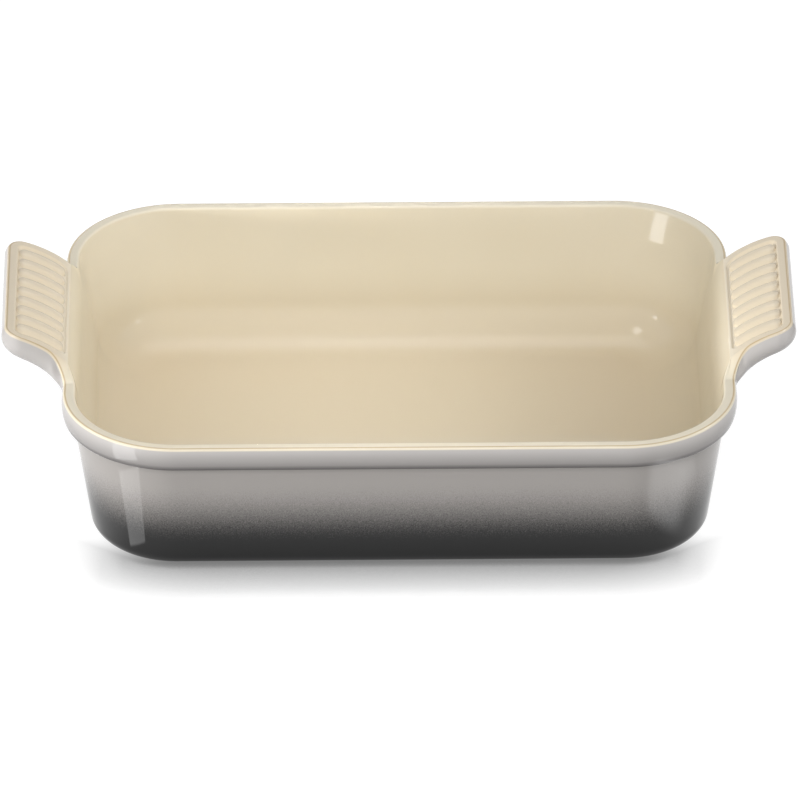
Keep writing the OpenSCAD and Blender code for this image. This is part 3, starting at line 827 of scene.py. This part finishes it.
def backgroundRays(tree):
    # 1 for what the camera, a mirroring surface or a clear one sees, 0 for the light on the dish
    rays = addNode(tree, "ShaderNodeLightPath").outputs
    seenInGlaze = maths(tree, "MAXIMUM", rays["Is Glossy Ray"], rays["Is Transmission Ray"])
    return maths(tree, "MAXIMUM", rays["Is Camera Ray"], seenInGlaze)


def makePanel(name, corners, material):
    mesh = bpy.data.meshes.new(name)
    mesh.from_pydata([Vector(corner) * mm for corner in corners], [], [(0, 1, 2, 3)])
    mesh.materials.append(material)
    panel = addObject(name, mesh)
    return panel


def facing(place, target):
    return (Vector(target) - Vector(place)).to_track_quat("-Z", "Y")


def makeFloor():
    material, tree = newMaterial("studioPaper")
    # White where it is seen, most of it from a glow that fades close to the dish, so the shadow stays short
    near = addNode(tree, "ShaderNodeAmbientOcclusion", {"samples": studio["contactSamples"]}, {
        "Distance": studio["contactReach"] * mm}).outputs["AO"]
    near = maths(tree, "POWER", near, studio["contactDepth"])
    # The shadow is washed out beside and behind the dish, so it shows in front only
    where = split(tree, objectPlace(tree))
    sideways = maths(tree, "ABSOLUTE", where["X"])
    for away, start, end in ((where["Y"], "shadowFront", "shadowBack"),
                             (sideways, "shadowSide", "shadowGone")):
        near = maths(tree, "MAXIMUM", near, ramp(tree, away, studio[start], studio[end]))
    glow = emission(tree, maths(tree, "MULTIPLY", near, studio["floorGlow"]))
    paper = diffuse(tree, studio["floor"])
    seen = addNode(tree, "ShaderNodeAddShader", {}, {0: paper, 1: glow}).outputs[0]
    # No glow in the light that it throws back up, so that the collar's underside and the lower wall stay dark
    bounce = diffuse(tree, studio["bounce"])
    addOutput(tree, mixShader(tree, backgroundRays(tree), bounce, seen))
    half, z = studio["floorSize"] / 2, -studio["floorDrop"]
    corners = [(-half, -half, z), (half, -half, z), (half, half, z), (-half, half, z)]
    makePanel("studioFloor", corners, material)


def makeSurroundings():
    world = bpy.data.worlds.new("whiteStudio")
    world.use_nodes = True
    tree = world.node_tree
    tree.nodes.clear()
    strength = maths(tree, "MULTIPLY_ADD", backgroundRays(tree), 1 - studio["ambient"], studio["ambient"])
    back = addNode(tree, "ShaderNodeBackground", {}, {"Color": (1, 1, 1, 1), "Strength": strength})
    addOutput(tree, back.outputs[0], "ShaderNodeOutputWorld")
    bpy.context.scene.world = world


def makeCard(name, card):
    halfWide, halfHigh = card["size"][0] / 2, card["size"][1] / 2
    # Bright in the middle and see-through at the rim of its soft edge
    material, tree = newMaterial(name + "Glow")
    across = split(tree, objectPlace(tree))
    shares = []
    for axis, half, edge in (("X", halfWide, card["edges"][0]), ("Y", halfHigh, card["edges"][1])):
        inside = maths(tree, "SUBTRACT", half * mm, maths(tree, "ABSOLUTE", across[axis]))
        shares.append(ramp(tree, inside, 0, edge))
    share = maths(tree, "MULTIPLY", shares[0], shares[1])
    # It glows towards its target only, as a lamp does. The face's normal points the other way.
    share = maths(tree, "MULTIPLY", share, addNode(tree, "ShaderNodeNewGeometry").outputs["Backfacing"])
    clear = addNode(tree, "ShaderNodeBsdfTransparent").outputs[0]
    addOutput(tree, mixShader(tree, share, clear, emission(tree, card["brightness"])))
    corners = [(-halfWide, -halfHigh, 0), (halfWide, -halfHigh, 0),
               (halfWide, halfHigh, 0), (-halfWide, halfHigh, 0)]
    panel = makePanel(name, corners, material)
    panel.matrix_world = (Matrix.Translation(Vector(card["place"]) * mm)
                          @ facing(card["place"], card["target"]).to_matrix().to_4x4()
                          @ Matrix.Rotation(radians(card["lean"]), 4, "Z"))
    panel.visible_camera = False
    panel.visible_diffuse = False
    panel.visible_shadow = False


def makeSoftBox(name, box):
    lamp = bpy.data.lights.new(name, "AREA")
    lamp.shape = "RECTANGLE"
    lamp.size, lamp.size_y = box["size"]
    lamp.energy = box["watts"]
    if "spread" in box:
        lamp.spread = radians(box["spread"])
    item = addObject(name, lamp)
    item.location = box["place"]
    item.rotation_euler = facing(box["place"], box["target"]).to_euler()
    mirrored = box.get("mirrored", False)
    item.visible_camera = False
    item.visible_glossy = mirrored
    item.visible_diffuse = not mirrored


def makeFlag(name, side):
    material, tree = newMaterial(name + "Cloth")
    addOutput(tree, diffuse(tree, flag["colour"]))
    x = side * flag["away"]
    corners = [(x, flag["front"], flag["low"]), (x, flag["back"], flag["low"]),
               (x, flag["back"], flag["high"]), (x, flag["front"], flag["high"])]
    board = makePanel(name, corners, material)
    board.visible_camera = False
    board.visible_shadow = False


makeFloor()
makeSurroundings()
makeFlag("leftFlag", -1)
makeFlag("rightFlag", 1)
for boxName, box in softBoxes.items():
    makeSoftBox(boxName, box)
for cardName, card in cards.items():
    makeCard(cardName, card)
bpy.context.scene.view_settings.view_transform = "Standard"
print("studio ready")
